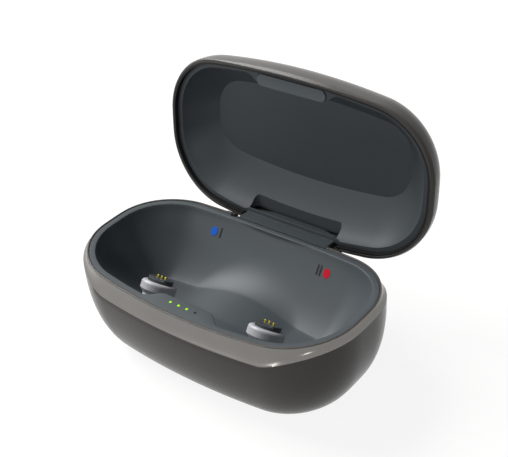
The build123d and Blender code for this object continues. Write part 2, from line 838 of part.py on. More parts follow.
# Screws from below into the tray's bosses
with BuildPart() as tray_screws:
    with BuildSketch(Plane.XY.offset(foot_thickness)):
        with GridLocations(2 * tray_boss_x, 0, 2, 1):
            Circle(tray_screw_head_radius)
    extrude(amount=tray_screw_head_height)
    with BuildSketch(Plane.XY.offset(foot_thickness)):
        with GridLocations(2 * tray_boss_x, 0, 2, 1):
            Circle(tray_screw_radius)
    extrude(amount=tray_screw_head_height + tray_screw_length)
    with BuildSketch(Plane.XY.offset(foot_thickness)):
        with GridLocations(2 * tray_boss_x, 0, 2, 1):
            Rectangle(2 * drive_slot_share * tray_screw_head_radius, drive_slot_width)
            Rectangle(drive_slot_width, 2 * drive_slot_share * tray_screw_head_radius)
    extrude(amount=drive_slot_depth, mode=Mode.SUBTRACT)
save(tray_screws.part, "tray_screws")

# Hinge pin, pressed into the ears
with BuildPart() as hinge_pin:
    with BuildSketch(Plane.YZ):
        with Locations((hinge_y, hinge_height)):
            Circle(hinge_pin_radius)
    extrude(amount=hinge_pin_half_length, both=True)
save(hinge_pin.part, "hinge_pin")

# Lid shell, with its lower edge following the bowed rim
with BuildPart() as lid_edge_form:
    loft(
        sections=flared(
            rim_height, lid_edge_inset + lid_edge_slope * rim_rise_at_ends, lid_edge_inset,
            -lid_edge_slope, -lid_edge_slope, lid_edge_reach_down, lid_edge_reach_up,
        ),
        ruled=True,
    )
    with Locations((0, 0, rim_height + lid_edge_reach_up)):
        Box(2 * reach, reach, rim_height, align=(Align.CENTER, Align.CENTER, Align.MIN))

with BuildPart() as lid_shell:
    loft(sections=lid_sections(0))
    add(lid_edge_form.part, mode=Mode.INTERSECT)
    extrude(above_lid_edge, amount=reach, both=True, mode=Mode.INTERSECT)
    loft(sections=lid_sections(lid_wall), mode=Mode.SUBTRACT)
save_opened(lid_shell.part, "lid_shell")


def cavity_sections():
    """Outlines of the hollow in the lid's liner, from its opening to its ceiling."""
    start = rim_height + rim_rise_at_ends
    sections = [outline(rim_height - hollow_overshoot, liner_opening, liner_opening, liner_opening)]
    sections.append(outline(start, liner_opening, liner_opening, liner_opening))
    last = liner_shares[-1]
    for share in liner_shares:
        tuck = drawn_in(share, liner_fullness) / drawn_in(last, liner_fullness)
        cuts = part_way(liner_opening, ceiling_half_length, ceiling_half_depth, ceiling_corner, tuck)
        height = start + (rim_height + ceiling_height - start) * share / last
        sections.append(outline(height, *cuts, ceiling_shift * tuck))
    return sections


with BuildPart() as liner_space:
    loft(sections=lid_sections(liner_inset))
    extrude(above_liner_lip, amount=reach, both=True, mode=Mode.INTERSECT)

# Front bulge and rear lip of the liner
with BuildPart() as liner_swells:
    extrude(
        swell(
            rim_height, lid_bulge_half_length, lid_bulge_inner_y,
            lid_bulge_root_half_length, lid_bulge_root_y, lid_bulge_corner,
        ),
        amount=lid_bulge_height,
    )
    with BuildSketch(Plane.XY.offset(rim_height)):
        with BuildLine():
            Polyline(
                (-hinge_lip_root[0], case_half_depth),
                (-hinge_lip_root[0], hinge_lip_root[1]),
                (-hinge_lip_shoulder[0], hinge_lip_shoulder[1]),
                (-hinge_lip_half_length, hinge_lip_y),
                (hinge_lip_half_length, hinge_lip_y),
                hinge_lip_shoulder,
                hinge_lip_root,
                (hinge_lip_root[0], case_half_depth),
                close=True,
            )
        make_face()
    extrude(amount=hinge_lip_height)
    add(liner_space.part, mode=Mode.INTERSECT)

# Lid liner: a shallow bowl with the catch's place in front and the hinge barrel behind
pad_bottom = rim_height + lid_gap + liner_set_back - catch_proud
pad_top = pad_bottom + catch_thickness
with BuildPart() as lid_liner:
    add(liner_space.part)
    loft(sections=cavity_sections(), mode=Mode.SUBTRACT)
    add(liner_swells.part)
    # Pocket over the rear lip
    with BuildSketch(Plane.XZ.offset(-hinge_pocket_y)):
        with Locations((0, rim_height + hinge_lip_height)):
            Rectangle(
                2 * hinge_pocket_half_length, hinge_pocket_height - hinge_lip_height,
                align=(Align.CENTER, Align.MIN),
            )
        fillet(vertices().group_by(Axis.Y)[-1], hinge_pocket_corner)
    extrude(amount=hinge_pocket_y, mode=Mode.SUBTRACT)
    # Places for the catch pad and the magnets above it
    with BuildSketch(Plane.XY.offset(rim_height)):
        with Locations((0, -catch_y)):
            SlotOverall(2 * (catch_half_length + catch_gap), 2 * (catch_half_width + catch_gap))
    extrude(amount=pad_top - rim_height, mode=Mode.SUBTRACT)
    with BuildSketch(Plane.XY.offset(pad_top)):
        with Locations((0, -catch_y)):
            with GridLocations(2 * magnet_x, 0, 2, 1):
                Rectangle(magnet_length + 2 * magnet_gap, magnet_width + 2 * magnet_gap)
    extrude(amount=magnet_height + magnet_gap, mode=Mode.SUBTRACT)
    # Hinge web and barrel
    with BuildSketch(Plane.XY.offset(hinge_height)):
        with Locations((0, web_front_y)):
            Rectangle(2 * web_half_length, web_thickness, align=(Align.CENTER, Align.MIN))
    extrude(amount=hinge_below_rim + web_height)
    with BuildSketch(Plane.YZ):
        with Locations((hinge_y, hinge_height)):
            Circle(knuckle_radius)
    extrude(amount=knuckle_half_length, both=True)
    with BuildSketch(Plane.YZ):
        with Locations((hinge_y, hinge_height)):
            Circle(hinge_pin_radius + pin_running_gap)
    extrude(amount=knuckle_half_length, both=True, mode=Mode.SUBTRACT)
save_opened(lid_liner.part, "lid_liner")

# Gasket between the lid's shell and its liner
gasket_inset = lid_wall + gasket_gap
gasket_inner_inset = gasket_inset + gasket_thickness
with BuildPart() as lid_gasket:
    loft(sections=lid_sections(gasket_inset))
    loft(sections=lid_sections(gasket_inner_inset), mode=Mode.SUBTRACT)
    extrude(beside_rim(lid_gap + gasket_rise, high), amount=reach, both=True, mode=Mode.INTERSECT)
    extrude(
        beside_rim(lid_gap + gasket_rise + gasket_height, deep), amount=reach, both=True,
        mode=Mode.INTERSECT,
    )
    with BuildSketch(Plane.XY.offset(rim_height)):
        Rectangle(2 * gasket_open_half_length, reach, align=(Align.CENTER, Align.MIN))
    extrude(amount=rim_height, mode=Mode.SUBTRACT)
save_opened(lid_gasket.part, "lid_gasket")

# Catch pad and the two magnets behind it
with BuildPart() as catch_pad:
    with BuildSketch(Plane.XY.offset(pad_bottom)):
        with Locations((0, -catch_y)):
            SlotOverall(2 * catch_half_length, 2 * catch_half_width)
    extrude(amount=catch_thickness)
save_opened(catch_pad.part, "catch_pad")

with BuildPart() as lid_magnets:
    with Locations((0, -catch_y, pad_top)):
        with GridLocations(2 * magnet_x, 0, 2, 1):
            Box(magnet_length, magnet_width, magnet_height, align=(Align.CENTER, Align.CENTER, Align.MIN))
save_opened(lid_magnets.part, "lid_magnets")
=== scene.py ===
# %% [markdown]
# # A charging case for two hearing aids
#
# The solids of the case come from the CAD model. This lesson gives them their looks: it sets
# up the camera and the light, models the smooth skins that the eye rests on, and makes each
# finish from what the real material is.

# %% Load the frame
import json
import math

import bmesh
import bpy
from mathutils import Matrix, Vector


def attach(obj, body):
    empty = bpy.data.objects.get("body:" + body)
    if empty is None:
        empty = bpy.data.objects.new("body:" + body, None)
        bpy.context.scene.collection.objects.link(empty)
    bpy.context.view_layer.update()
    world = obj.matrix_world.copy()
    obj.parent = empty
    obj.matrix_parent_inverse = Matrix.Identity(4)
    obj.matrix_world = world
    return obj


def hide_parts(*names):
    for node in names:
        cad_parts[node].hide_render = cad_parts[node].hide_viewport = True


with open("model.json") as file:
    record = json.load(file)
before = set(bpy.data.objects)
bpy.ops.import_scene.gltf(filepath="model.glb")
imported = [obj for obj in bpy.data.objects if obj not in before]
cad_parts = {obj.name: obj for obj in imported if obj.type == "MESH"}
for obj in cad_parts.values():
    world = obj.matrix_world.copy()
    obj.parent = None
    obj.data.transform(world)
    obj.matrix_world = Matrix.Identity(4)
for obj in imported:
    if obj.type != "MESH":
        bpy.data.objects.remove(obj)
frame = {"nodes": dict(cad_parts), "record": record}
scene = bpy.context.scene
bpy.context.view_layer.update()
MM = 0.001
print("CAD nodes:", len(frame["nodes"]))

# %% [markdown]
# The camera stands in front of the case, to its right and above it, and leans a few degrees.
# Its three directions and its place were found by fitting the case's outline, so they are
# given as they are instead of as angles.

# %% Camera
FRAME_WIDTH, FRAME_HEIGHT = 508, 457
SENSOR_MM = 36.0
LENS_MM = 75.76
camera_right = Vector((0.7974, 0.6010, -0.0553))
camera_up = Vector((-0.2931, 0.4657, 0.8350))
camera_back = Vector((0.5275, -0.6496, 0.5475))
camera_place = Vector((167.46, -193.37, 211.13)) * MM

camera_data = bpy.data.cameras.new("camera")
camera_data.lens = LENS_MM
camera_data.sensor_width = SENSOR_MM
camera_data.sensor_fit = "HORIZONTAL"
camera_data.clip_start = 0.01
camera = bpy.data.objects.new("camera", camera_data)
turn = Matrix((camera_right, camera_up, camera_back)).transposed()
camera.matrix_world = Matrix.Translation(camera_place) @ turn.to_4x4()
scene.collection.objects.link(camera)
scene.camera = camera
print("camera at", [round(v, 3) for v in camera_place])

# %% [markdown]
# The case was shot on white. The world is white for the camera and for reflections, and a
# quiet grey for everything else, so the ground stays white while the object keeps its depth.
# The floor is matt paper. A light of its own, for the camera and for gloss alone, lifts it
# to white where no shadow falls.

# %% Node helper and world
scene.view_settings.view_transform = "Standard"
AMBIENT = 0.10


def add_node(tree, kind, links=None, **settings):
    """Add a node, set its own settings or its sockets' values, and link its inputs."""
    made = tree.nodes.new(kind)
    for name, value in settings.items():
        if hasattr(made, name):
            setattr(made, name, value)
        else:
            made.inputs[name.replace("_", " ")].default_value = value
    for name, source in (links or {}).items():
        tree.links.new(source, made.inputs[name])
    return made


def linear(code):
    """A colour written as sRGB hex, as the linear values that a shader takes."""
    channels = [int(code[i:i + 2], 16) / 255 for i in (1, 3, 5)]
    bent = [c / 12.92 if c <= 0.04045 else ((c + 0.055) / 1.055) ** 2.4 for c in channels]
    return (*bent, 1.0)


def seen_directly(tree):
    """1 for rays from the camera, from gloss and through glass, and 0 for all others."""
    path = add_node(tree, "ShaderNodeLightPath")
    first = add_node(tree, "ShaderNodeMath", {
        0: path.outputs["Is Camera Ray"], 1: path.outputs["Is Glossy Ray"],
    }, operation="MAXIMUM")
    return add_node(tree, "ShaderNodeMath", {
        0: first.outputs[0], 1: path.outputs["Is Transmission Ray"],
    }, operation="MAXIMUM").outputs[0]


world = bpy.data.worlds.new("studio")
world.use_nodes = True
scene.world = world
tree = world.node_tree
tree.nodes.clear()
quiet = add_node(tree, "ShaderNodeBackground", Color=(0.95, 0.98, 1.0, 1.0), Strength=AMBIENT)
white = add_node(tree, "ShaderNodeBackground", Color=(1.0, 1.0, 1.0, 1.0), Strength=1.0)
either = add_node(tree, "ShaderNodeMixShader", {
    0: seen_directly(tree), 1: quiet.outputs[0], 2: white.outputs[0],
})
add_node(tree, "ShaderNodeOutputWorld", {"Surface": either.outputs[0]})
print("world:", world.name)

# %% [markdown]
# The floor is one square of paper, six metres wide, so that its edge stays far from the case.

# %% Floor
FLOOR_HALF = 3.0
FLOOR_LIFT = 0.88

floor_bm = bmesh.new()
bmesh.ops.create_grid(floor_bm, x_segments=1, y_segments=1, size=FLOOR_HALF)
floor_mesh = bpy.data.meshes.new("floor")
floor_bm.to_mesh(floor_mesh)
floor_bm.free()
floor = bpy.data.objects.new("floor", floor_mesh)
scene.collection.objects.link(floor)
paper = bpy.data.materials.new("white_paper_sweep")
paper.use_nodes = True
tree = paper.node_tree
tree.nodes.clear()
matt = add_node(tree, "ShaderNodeBsdfDiffuse", Color=linear("#787876"))
own_light = add_node(tree, "ShaderNodeEmission", Color=(1.0, 1.0, 1.0, 1.0))
lift = add_node(tree, "ShaderNodeMath", {0: seen_directly(tree)}, operation="MULTIPLY")
lift.inputs[1].default_value = FLOOR_LIFT
tree.links.new(lift.outputs[0], own_light.inputs["Strength"])
both = add_node(tree, "ShaderNodeAddShader", {0: matt.outputs[0], 1: own_light.outputs[0]})
add_node(tree, "ShaderNodeOutputMaterial", {"Surface": both.outputs[0]})
floor_mesh.materials.append(paper)
print("floor:", FLOOR_HALF * 2, "m wide")

# %% [markdown]
# Soft boxes light the case, as in a product shot. The key hangs on the left, level with the
# case, so the lid shades its own inside and the bowl's left end and floor stay dark. A strip in
# front lights the front wall and draws the line along the bevel's ridge, and a small low lamp
# on the right gives the near corner its glint.

# %% Lamps
CENTRE = Vector((0.0, 0.01, 0.035))


def soft_box(name, place, width, height, watts):
    """An area lamp at a place in metres, turned to face the case."""
    data = bpy.data.lights.new(name, "AREA")
    data.shape = "RECTANGLE"
    data.size, data.size_y = width, height
    data.energy = watts
    lamp = bpy.data.objects.new(name, data)
    lamp.location = place
    lamp.rotation_euler = (CENTRE - Vector(place)).to_track_quat("-Z", "Y").to_euler()
    scene.collection.objects.link(lamp)
    return lamp


soft_box("key_above", (-0.64, 0.02, 0.68), 0.60, 0.60, 11.5)
soft_box("panel_front", (-0.36, -0.86, 0.27), 0.50, 0.12, 1.4)
soft_box("glint_right", (0.55, -0.60, 0.30), 0.12, 0.10, 0.5)

# %% [markdown]
# ## The case's outline
#
# Every wall of the case follows one outline, seen from above: two long bows, two end bows and
# four corners that meet them smoothly. The skins below are all made from rings of this
# outline, so the sizes are those of the CAD model, in millimetres.

# %% Outline
HALF_LENGTH, HALF_DEPTH, CORNER = 48.0, 27.0, 22.0
LONG_BOW, END_BOW = 214.0, 134.6
BOW_STEPS, CORNER_STEPS, END_STEPS = 36, 28, 8
QUARTER_STEPS = BOW_STEPS + CORNER_STEPS + END_STEPS
RING_STEPS = 4 * QUARTER_STEPS


def between(start, end, share):
    """The value at a share of the way between two others."""
    return start + (end - start) * share


def quarter_spot(step, inset_x, inset_y, corner_cut):
    """The spot at a step of the first quarter, from the +X end to the +Y side."""
    half_length, half_depth = HALF_LENGTH - inset_x, HALF_DEPTH - inset_y
    bow, end, corner = LONG_BOW - inset_y, END_BOW - inset_x, CORNER - corner_cut
    bow_centre = Vector((0.0, half_depth - bow))
    end_centre = Vector((half_length - end, 0.0))
    span = end_centre - bow_centre
    along = (span.length ** 2 + (bow - corner) ** 2 - (end - corner) ** 2) / (2 * span.length)
    aside = math.sqrt((bow - corner) ** 2 - along ** 2)
    way = span.normalized()
    corner_centre = bow_centre + way * along + Vector((way.y, -way.x)) * aside
    to_bow = corner_centre - bow_centre
    to_end = corner_centre - end_centre
    bow_turn = math.atan2(to_bow.y, to_bow.x)
    end_turn = math.atan2(to_end.y, to_end.x)
    if step <= END_STEPS:
        turn = end_turn * step / END_STEPS
        return end_centre + Vector((math.cos(turn), math.sin(turn))) * end
    if step <= END_STEPS + CORNER_STEPS:
        turn = between(end_turn, bow_turn, (step - END_STEPS) / CORNER_STEPS)
        return corner_centre + Vector((math.cos(turn), math.sin(turn))) * corner
    turn = between(bow_turn, math.pi / 2, (step - END_STEPS - CORNER_STEPS) / BOW_STEPS)
    return bow_centre + Vector((math.cos(turn), math.sin(turn))) * bow


def outline_spot(step, inset_x, inset_y, corner_cut):
    """The spot at a step of the whole outline, counter-clockwise from the +X end."""
    quarter, within = divmod(step, QUARTER_STEPS)
    if quarter % 2:
        within = QUARTER_STEPS - within
    spot = quarter_spot(within, inset_x, inset_y, corner_cut)
    sign_x = -1.0 if quarter in (1, 2) else 1.0
    sign_y = -1.0 if quarter in (2, 3) else 1.0
    return Vector((spot.x * sign_x, spot.y * sign_y))


def part_way(inset, half_length, half_depth, corner, share):
    """Insets and corner cut between an even inset and an outline with given half sizes."""
    return (
        between(inset, HALF_LENGTH - half_length, share),
        between(inset, HALF_DEPTH - half_depth, share),
        between(inset, CORNER - corner, share),
    )


def swept_in(share, fullness):
    """How far a rounded wall has come in, from 0 to 1, at a share of its height."""
    return 1 - (1 - share ** fullness) ** (1 / fullness)


outward = []
for step in range(RING_STEPS):
    there = outline_spot(step, 0, 0, 0)
    here = outline_spot(step, 1, 1, 1)
    outward.append((there - here).normalized())
print("spots on a ring:", RING_STEPS)

# %% [markdown]
# The rim isn't flat: seen from the front it bows upwards towards both ends. One long arc
# through the middle and the two ends gives its height.

# %% Rim line and ring skin
RIM, RIM_RISE = 30.0, 2.45
RIM_RADIUS = (HALF_LENGTH ** 2 + RIM_RISE ** 2) / (2 * RIM_RISE)


def rim_bow(x):
    """How much higher than in the middle the rim is at x."""
    return RIM_RADIUS - math.sqrt(RIM_RADIUS ** 2 - x ** 2)


def ring_skin(rings, second=range(0)):
    """A closed bmesh of rings of spots, in millimetres; some rings take the second finish."""
    bm = bmesh.new()
    line = bmesh.ops.create_circle(bm, segments=len(rings[0]), radius=1.0)["verts"]
    edges = list(bm.edges)
    for vertex, spot in zip(line, rings[0]):
        vertex.co = spot
    for number, ring in enumerate(rings[1:], start=1):
        bm.verts.index_update()
        grown = bmesh.ops.extrude_edge_only(bm, edges=edges)["geom"]
        fresh = {part for part in grown if isinstance(part, bmesh.types.BMVert)}
        edges = [
            part for part in grown
            if isinstance(part, bmesh.types.BMEdge) and all(v in fresh for v in part.verts)
        ]
        following = []
        for vertex in line:
            following.append(next(
                edge.other_vert(vertex) for edge in vertex.link_edges
                if edge.other_vert(vertex) in fresh
            ))
        line = following
        for vertex, spot in zip(line, ring):
            vertex.co = spot
        for part in grown:
            if isinstance(part, bmesh.types.BMFace):
                part.material_index = int(number in second)
    bmesh.ops.remove_doubles(bm, verts=bm.verts, dist=1e-4)
    bmesh.ops.recalc_face_normals(bm, faces=bm.faces)
    return bm


def object_from(bm, name, body, material, smooth_degrees=35.0):
    """An object at the origin from a bmesh in millimetres, riding on a body."""
    bmesh.ops.scale(bm, vec=(MM, MM, MM), verts=bm.verts)
    for face in bm.faces:
        face.smooth = True
    for edge in bm.edges:
        edge.smooth = edge.is_manifold and edge.calc_face_angle(0.0) < math.radians(smooth_degrees)
    mesh = bpy.data.meshes.new(name)
    bm.to_mesh(mesh)
    bm.free()
    mesh.materials.append(material)
    piece = bpy.data.objects.new(name, mesh)
    scene.collection.objects.link(piece)
    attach(piece, body)
    return piece


print("rim radius:", round(RIM_RADIUS, 1), "mm")

# %% [markdown]
# ## Finishes
#
# One function makes a plain moulded or painted finish: a base colour that drifts a little over
# twelve millimetres, a roughness that drifts with it, and a fine grain as bump. The scales are
# real sizes, so a grain of 0.4 mm has 0.4 mm between its bumps. Moulded edges are never quite
# sharp, so a Bevel node turns the shading over a few tenths of a millimetre there.

# %% Finish helper
DRIFT_MM = 12.0
WEAR = 0.08


def finish(name, colour, dark, roughness, metallic=0.0, grain_mm=0.4, grain_depth_mm=0.004,
           edge_mm=0.15, specular=0.5):
    """A procedural material: colour and roughness drift over DRIFT_MM, and grain is bump."""
    material = bpy.data.materials.new(name)
    material.use_nodes = True
    tree = material.node_tree
    tree.nodes.clear()
    place = add_node(tree, "ShaderNodeTexCoord")
    drift = add_node(tree, "ShaderNodeTexNoise", {"Vector": place.outputs["Object"]},
                     Scale=1 / (DRIFT_MM * MM), Detail=2.0)
    grain = add_node(tree, "ShaderNodeTexNoise", {"Vector": place.outputs["Object"]},
                     Scale=1 / (grain_mm * MM), Detail=1.0)
    tint = add_node(tree, "ShaderNodeMix", {"Factor": drift.outputs["Fac"]}, data_type="RGBA")
    tint.inputs[6].default_value = linear(dark)
    tint.inputs[7].default_value = linear(colour)
    worn = add_node(tree, "ShaderNodeMapRange", {"Value": drift.outputs["Fac"]})
    worn.inputs["To Min"].default_value = roughness * (1 - WEAR)
    worn.inputs["To Max"].default_value = roughness * (1 + WEAR)
    edge = add_node(tree, "ShaderNodeBevel", samples=4, Radius=edge_mm * MM)
    bump = add_node(tree, "ShaderNodeBump", {
        "Height": grain.outputs["Fac"], "Normal": edge.outputs["Normal"],
    }, Strength=1.0, Distance=grain_depth_mm * MM)
    shader = add_node(tree, "ShaderNodeBsdfPrincipled", {
        "Base Color": tint.outputs[2], "Roughness": worn.outputs["Result"],
        "Normal": bump.outputs["Normal"],
    }, Metallic=metallic)
    shader.inputs["Specular IOR Level"].default_value = specular
    add_node(tree, "ShaderNodeOutputMaterial", {"Surface": shader.outputs[0]})
    return material


# %% [markdown]
# The shell is ABS with a satin graphite lacquer. The band under its rim has the same lacquer in a
# lighter colour, which is a painted reflection of the bright bevel. It is also partly metallic,
# so it reflects for real as well. Everything inside is bare moulded ABS. The docks' collars carry
# a light satin lacquer, and the pins are gold on brass.

# %% Finishes
finishes = {
    "shell": finish("graphite_lacquer_on_abs", "#595653", "#53504d", 0.24, grain_mm=0.25,
                    grain_depth_mm=0.0006, edge_mm=0.25, specular=0.22),
    # The band's lighter colour is a painted reflection of the bevel; its metallic part reflects
    # for real.
    "band": finish("graphite_lacquer_painted_reflection", "#8b8884", "#83807c", 0.20, metallic=0.60,
                   grain_mm=0.25, grain_depth_mm=0.0003),
    "tray": finish("moulded_abs_blue_grey", "#4b5155", "#464c50", 0.46, grain_mm=0.35,
                   grain_depth_mm=0.002, specular=0.32),
    "foot": finish("moulded_rubber", "#2a2a2a", "#242424", 0.75),
    "dark": finish("moulded_pbt_black", "#343a3d", "#2e3336", 0.40),
    "collar": finish("satin_lacquer_on_abs", "#c4c4c8", "#bebec2", 0.36),
    "gold": finish("gold_plated_brass", "#c2b23a", "#a99a30", 0.30, metallic=1.0, grain_mm=0.1,
                   grain_depth_mm=0.0005),
    "board": finish("solder_mask", "#1a4a2c", "#153f25", 0.4),
    "chip": finish("moulded_epoxy", "#202122", "#1b1c1d", 0.5),
    "steel": finish("zinc_plated_steel", "#a9abad", "#9b9da0", 0.3, metallic=1.0),
    "cell": finish("aluminium_laminate", "#b9bcc0", "#adb0b4", 0.35, metallic=0.9),
    "led": finish("clear_cast_epoxy", "#e8dfae", "#ded59f", 0.15),
    "magnet": finish("nickel_plate", "#b8b6ae", "#aaa8a0", 0.2, metallic=1.0),
    "blue": finish("blue_acrylic", "#1d66d4", "#1a60ca", 0.45, specular=0.15),
    "red": finish("red_acrylic", "#d0102c", "#c60d28", 0.45, specular=0.15),
    "gasket": finish("black_rubber", "#101010", "#0c0c0c", 0.6, specular=0.3),
    "pad": finish("smooth_abs", "#555f66", "#505a61", 0.30),
    "unlit": finish("smoked_acrylic", "#1f2326", "#1b1f22", 0.50, specular=0.1),
    "ink": finish("pad_printed_ink", "#39343a", "#353036", 0.6, specular=0.1),
}
print("finishes:", len(finishes))

# %% [markdown]
# The lit lenses are acrylic with a light behind them. Their green is cloudy, because the light
# spreads inside, and a weak glow of its own keeps it bright in the shade.

# %% Lit acrylic
CLOUD_MM = 0.5
GLOW = 0.60

glow = bpy.data.materials.new("lit_acrylic")
glow.use_nodes = True
tree = glow.node_tree
lit_shader = tree.nodes["Principled BSDF"]
place = add_node(tree, "ShaderNodeTexCoord")
cloud = add_node(tree, "ShaderNodeTexNoise", {"Vector": place.outputs["Object"]},
                 Scale=1 / (CLOUD_MM * MM), Detail=1.0)
warm = add_node(tree, "ShaderNodeMix", {"Factor": cloud.outputs["Fac"]}, data_type="RGBA")
warm.inputs[6].default_value = linear("#7ccb00")
warm.inputs[7].default_value = linear("#9fdc00")
tree.links.new(warm.outputs[2], lit_shader.inputs["Base Color"])
tree.links.new(warm.outputs[2], lit_shader.inputs["Emission Color"])
lit_shader.inputs["Emission Strength"].default_value = GLOW
lit_shader.inputs["Specular IOR Level"].default_value = 0.1
lit_shader.inputs["Roughness"].default_value = 0.3
finishes["lit"] = glow
print("lit finish:", glow.name)

# %% [markdown]
# The CAD record names a finish for each solid. Every solid gets it here, also those that a
# skin will stand in for, so that nothing is left bare.

# %% Give each solid its finish
slot_of = {s["node"]: s["material_slot"] for s in frame["record"]["subparts"]}
for name, solid in frame["nodes"].items():
    solid.data.materials.clear()
    solid.data.materials.append(finishes[slot_of[name]])
print("solids with a finish:", len(slot_of))

# %% [markdown]
# ## The base shell
#
# The shell is one closed form. Its wall rises from a flat bottom in a full curve, and ends in
# a ridge. Above the ridge, a shallow cove runs up to a thin rounded rim. The ridge is low in
# front and climbs at both ends, so each spot's own ridge height is worked out from the way
# its wall faces. Rings of spots are then joined from the middle of the bottom, up over the
# rim, and down to the middle of the floor inside.

# %% Base shell's wall
BOTTOM, WIDEST = 0.5, 27.4
BOTTOM_HALF_LENGTH, BOTTOM_HALF_DEPTH, BOTTOM_CORNER = 31.5, 15.5, 11.4
BASE_FULLNESS = 2.3
BASE_WALL, BASE_FLOOR = 2.0, 2.0
RIM_INSET_X, RIM_INSET_Y = 1.5, 1.25
BAND_SLOPE_X, BAND_SLOPE_Y = 0.68, 0.21
BODY_RINGS = 22
COVE_BEND = 3.0
RIM_ROUND = 0.22


def ridge_height(step):
    """How high the ridge is at a step, from the way the wall faces there."""
    along, across = outward[step].x ** 2, outward[step].y ** 2
    inset = (RIM_INSET_X - BAND_SLOPE_X * RIM_RISE) * along + RIM_INSET_Y * across
    return RIM - inset / (BAND_SLOPE_X * along + BAND_SLOPE_Y * across)


def body_spot(step, height, wall, floor):
    """A spot on the outside of the body at a height, or inside it with a wall and a floor."""
    share = min(max((WIDEST - height) / (WIDEST - BOTTOM - floor), 0.0), 1.0)
    spot = outline_spot(step, *part_way(
        wall, BOTTOM_HALF_LENGTH - wall, BOTTOM_HALF_DEPTH - wall, BOTTOM_CORNER - wall,
        swept_in(share, BASE_FULLNESS),
    ))
    return Vector((spot.x, spot.y, height))


def to_spine(spot, spine_half, share):
    """A spot moved by a share of the way to a line along X, which closes a ring."""
    middle = Vector((min(max(spot.x, -spine_half), spine_half), 0.0, spot.z))
    return spot.lerp(middle, share)


def rim_spot(step, inset_x, inset_y, drop):
    """A spot near the rim, drawn in from the widest outline and below the bowed rim line."""
    spot = outline_spot(step, inset_x, inset_y, (inset_x + inset_y) / 2)
    return Vector((spot.x, spot.y, RIM + rim_bow(spot.x) - drop))


# %% [markdown]
# Each list below holds rings, from the middle of the underside outwards and up. The cove turns
# in fast at first and then rises almost straight, which makes the ridge under it crisp. Its
# rings take the band finish, whose lighter colour is a painted reflection.

# %% Base shell's rings
COVE_SHARES = (0.07, 0.16, 0.28, 0.42, 0.58, 0.74, 0.88, 1.0)
INNER_EDGE = 0.1
STRAIGHT_WALL = 1.0

steps = range(RING_STEPS)
spine = BOTTOM_HALF_LENGTH - BOTTOM_HALF_DEPTH
quarter_turns = [
    math.sin(math.pi / 2 * k / BODY_RINGS) ** (2 / BASE_FULLNESS) for k in range(BODY_RINGS + 1)
]
outside = [
    [body_spot(s, between(ridge_height(s), BOTTOM, share), 0, 0) for s in steps]
    for share in reversed(quarter_turns)
]
cove = []
for share in COVE_SHARES:
    bend = 1 - (1 - share) ** COVE_BEND
    ring = []
    for s in steps:
        spot = rim_spot(s, RIM_INSET_X * bend, RIM_INSET_Y * bend, RIM_ROUND)
        spot.z = between(ridge_height(s), spot.z, share)
        ring.append(spot)
    cove.append(ring)
lip = []
for turn in (30, 60, 90):
    across = RIM_ROUND * (1 - math.cos(math.radians(turn)))
    drop = RIM_ROUND * (1 - math.sin(math.radians(turn)))
    lip.append([rim_spot(s, RIM_INSET_X + across, RIM_INSET_Y + across, drop) for s in steps])
for inset, drop in (
    (BASE_WALL - INNER_EDGE, 0.0), (BASE_WALL, INNER_EDGE), (BASE_WALL, STRAIGHT_WALL),
):
    lip.append([rim_spot(s, inset, inset, drop) for s in steps])
inside = [
    [
        body_spot(s, between(WIDEST, BOTTOM + BASE_FLOOR, share), BASE_WALL, BASE_FLOOR)
        for s in steps
    ]
    for share in quarter_turns
]
underside = [[to_spine(spot, spine, share) for spot in outside[0]] for share in (1.0, 0.5)]
floor_inside = [[to_spine(spot, spine, share) for spot in inside[-1]] for share in (0.5, 1.0)]
base_rings = underside + outside + cove + lip + inside + floor_inside
first_band = len(underside + outside)
base_bm = ring_skin(base_rings, range(first_band, first_band + len(cove)))
print("base skin faces:", len(base_bm.faces))

# %% [markdown]
# The hinge notch and the charging port are cut with booleans, which suits a closed form. The
# cutters are a plain box and a box whose long edges are beveled until its ends are round, but
# for a flat of a hundredth of a millimetre, since a bevel that meets itself fails.

# %% Carving
NOTCH_HALF_LENGTH, NOTCH_BOTTOM, NOTCH_TOP = 18.0, 25.25, 60.0
NOTCH_FRONT_Y, NOTCH_REAR_Y = 23.55, 31.5
PORT_HEIGHT, PORT_HALF_WIDTH, PORT_HALF_HEIGHT = 7.0, 4.72, 1.85
PORT_FRONT_Y, PORT_REAR_Y = 19.0, 30.0
FLAT_LEFT = 0.01


def block(low, high):
    """A box between two corners in millimetres, as a bmesh."""
    bm = bmesh.new()
    bmesh.ops.create_cube(bm, size=1.0)
    low, high = Vector(low), Vector(high)
    bmesh.ops.scale(bm, vec=high - low, verts=bm.verts)
    bmesh.ops.translate(bm, vec=(low + high) / 2, verts=bm.verts)
    return bm


def round_edges(bm, way, radius, segments=8):
    """Bevel the edges that run along one axis."""
    along = [e for e in bm.edges if abs((e.verts[0].co - e.verts[1].co).normalized()[way]) > 0.99]
    bmesh.ops.bevel(bm, geom=along, offset=radius, offset_type="OFFSET", segments=segments,
                    profile=0.5, affect="EDGES", material=-1)


def settle(piece, smooth_degrees=35.0):
    """Apply a piece's modifiers, and mark again which of its edges are sharp."""
    graph = bpy.context.evaluated_depsgraph_get()
    solid = bpy.data.meshes.new_from_object(piece.evaluated_get(graph))
    piece.modifiers.clear()
    piece.data = solid
    bm = bmesh.new()
    bm.from_mesh(solid)
    for edge in bm.edges:
        edge.smooth = edge.is_manifold and edge.calc_face_angle(0.0) < math.radians(smooth_degrees)
    for face in bm.faces:
        face.smooth = True
    bm.to_mesh(solid)
    bm.free()


